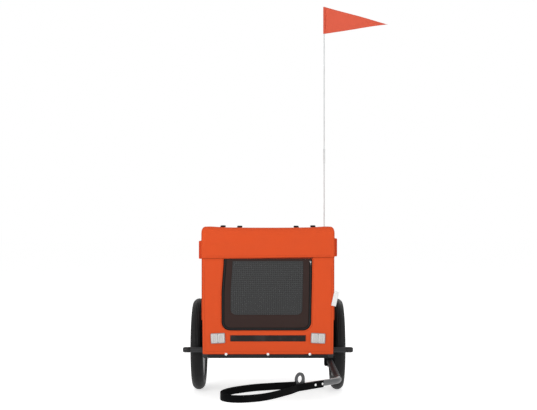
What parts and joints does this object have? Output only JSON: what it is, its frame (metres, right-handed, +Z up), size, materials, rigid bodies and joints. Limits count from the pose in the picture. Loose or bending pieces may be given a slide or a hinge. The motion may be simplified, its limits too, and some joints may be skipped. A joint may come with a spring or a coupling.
{
  "type": "dog bike trailer",
  "caption": "Two-wheeled dog trailer for a bicycle: fabric cabin with mesh doors on a tube frame, folding drawbar with hitch eye and safety strap, and a flag on a pole.",
  "frame": {"origin": "on the ground under the middle of the axle line", "axes": "+X to the right seen from the front, -Y towards the hitch, +Z up"},
  "size_m": [0.928, 1.5644, 1.7649],
  "materials": {
    "black_tube": "satin black paint",
    "silver_tube": "silver paint",
    "orange_fabric": "coated polyester weave",
    "black_fabric": "coated polyester weave",
    "window_mesh": "open polyester mesh",
    "door_binding": "dark polyester weave",
    "tyre_rubber": "black rubber",
    "rim_steel": "bright plated steel",
    "spoke_wire": "bright plated wire",
    "hub_alloy": "satin alloy",
    "plated_steel": "zinc plate",
    "black_webbing": "woven webbing",
    "clear_reflector": "prismatic clear plastic",
    "red_reflector": "prismatic red plastic",
    "rivet_white": "white lacquer",
    "flag_cloth": "bright nylon",
    "pole_white": "white fibreglass",
    "black_plastic": "moulded black plastic",
    "floor_panel": "black faced fibreboard",
    "mat_fabric": "grey padded polyester",
    "zip_metal": "bright nickel",
    "white_tape": "white woven tape"
  },
  "bodies": {
    "chassis": {"base_rail_left": "black_tube", "base_rail_right": "black_tube", "base_crosstubes": "black_tube", "floor_board": "floor_panel", "floor_mat": "mat_fabric", "front_arch": "black_tube", "rear_arch": "black_tube", "top_spreaders": "black_tube", "wheel_guard_left": "black_tube", "wheel_guard_right": "black_tube", "axle_plates": "black_tube", "roof_panel": "orange_fabric", "side_panel_left": "orange_fabric", "side_panel_right": "orange_fabric", "side_meshes": "window_mesh", "side_bands": "black_fabric", "rolled_side_covers": "orange_fabric", "front_flap": "orange_fabric", "front_webbing": "black_webbing", "seam_tab": "white_tape", "roof_ties": "black_webbing", "tie_buckles": "black_plastic", "front_reflectors": "clear_reflector", "rear_reflectors": "red_reflector", "drawbar_bracket": "black_tube", "drawbar_pivot_bolt": "plated_steel", "flag_socket": "black_plastic", "front_panel": "orange_fabric", "front_rivets": "rivet_white", "rear_panel": "orange_fabric", "rear_rivets": "rivet_white", "left_axle": "plated_steel", "left_axle_hardware": "plated_steel", "right_axle": "plated_steel", "right_axle_hardware": "plated_steel"},
    "left_wheel": {"left_tyre": "tyre_rubber", "left_rim": "rim_steel", "left_spokes": "spoke_wire", "left_hub": "hub_alloy", "left_bearings": "plated_steel"},
    "right_wheel": {"right_tyre": "tyre_rubber", "right_rim": "rim_steel", "right_spokes": "spoke_wire", "right_hub": "hub_alloy", "right_bearings": "plated_steel"},
    "drawbar": {"drawbar_sleeve": "black_tube", "drawbar_front_tube": "silver_tube", "hitch_eye": "plated_steel", "safety_strap": "black_webbing", "strap_rivets": "plated_steel"},
    "front_door": {"front_door_border": "door_binding", "front_door_mesh": "window_mesh", "front_zip_pull": "zip_metal"},
    "rear_door": {"rear_door_border": "door_binding", "rear_door_mesh": "window_mesh", "rear_zip_pull": "zip_metal"},
    "flag": {"flag_pole": "pole_white", "pole_ferrule": "plated_steel", "flag_pennant": "flag_cloth"}
  },
  "joints": [
    {"name": "left_wheel_spin", "type": "hinge", "parent": "chassis", "child": "left_wheel", "pos_m": [-0.3025, 0, 0.2], "axis": [1, 0, 0], "continuous": true},
    {"name": "right_wheel_spin", "type": "hinge", "parent": "chassis", "child": "right_wheel", "pos_m": [0.3025, 0, 0.2], "axis": [1, 0, 0], "continuous": true},
    {"name": "drawbar_fold", "type": "hinge", "parent": "chassis", "child": "drawbar", "pos_m": [0.2547, -0.3, 0.1612], "axis": [0, 0, 1], "range_deg": [-90, 0]},
    {"name": "front_door_swing", "type": "hinge", "parent": "chassis", "child": "front_door", "pos_m": [-0.0045, -0.349, 0.583], "axis": [-1, 0, 0], "range_deg": [0, 85]},
    {"name": "rear_door_swing", "type": "hinge", "parent": "chassis", "child": "rear_door", "pos_m": [-0.0045, 0.349, 0.583], "axis": [1, 0, 0], "range_deg": [0, 85]},
    {"name": "flag_lift", "type": "slide", "parent": "chassis", "child": "flag", "axis": [0, 0, 1], "range_m": [0, 0.08]}
  ]
}
